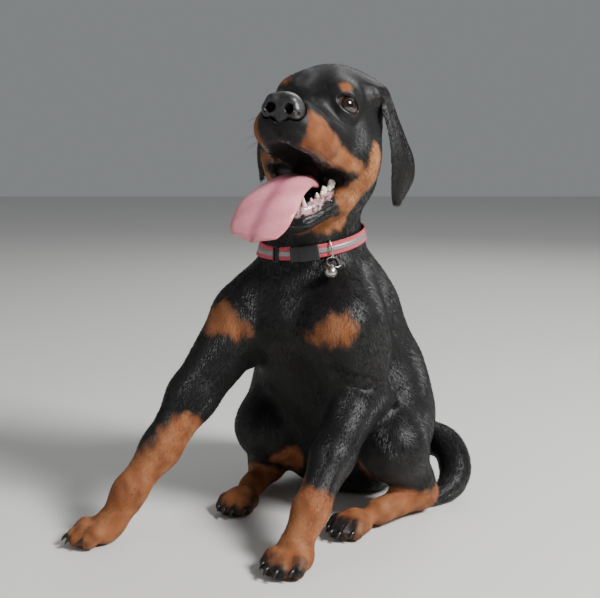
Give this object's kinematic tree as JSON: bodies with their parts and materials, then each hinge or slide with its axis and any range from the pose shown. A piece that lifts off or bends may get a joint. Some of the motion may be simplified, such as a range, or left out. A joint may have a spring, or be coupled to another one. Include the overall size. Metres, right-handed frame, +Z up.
{
  "type": "doberman pinscher puppy",
  "caption": "Life-size model of a black-and-rust doberman puppy sitting with its head raised, mouth open and tongue out, wearing a collar with ring and bell.",
  "frame": {"origin": "on the floor under the middle of the puppy's bounding box", "axes": "+Z up, -Y the way the puppy's chest faces, +X the puppy's left side"},
  "size_m": [0.2834, 0.3846, 0.4377],
  "materials": {
    "coat_black": "short glossy fur",
    "coat_rust": "short fur",
    "nose": "moist leather",
    "eye": "wet gloss",
    "tongue": "moist",
    "tooth": "enamel",
    "webbing": "woven",
    "buckle": "moulded",
    "steel": "polished"
  },
  "bodies": {
    "root": {"head": "coat_black", "jaw": "coat_rust", "nose": "nose", "tongue": "tongue", "teeth_lower": "tooth", "eye_left": "eye", "eye_right": "eye", "ear_left": "coat_black", "ear_right": "coat_black", "neck": "coat_black", "torso": "coat_black", "foreleg_left": "coat_black", "foreleg_right": "coat_black", "hindleg_left": "coat_black", "hindleg_right": "coat_black", "tail": "coat_black", "collar_strap": "webbing", "collar_buckle": "buckle", "collar_slider": "buckle", "collar_loop": "steel", "split_ring": "steel", "bell": "steel"}
  },
  "joints": []
}
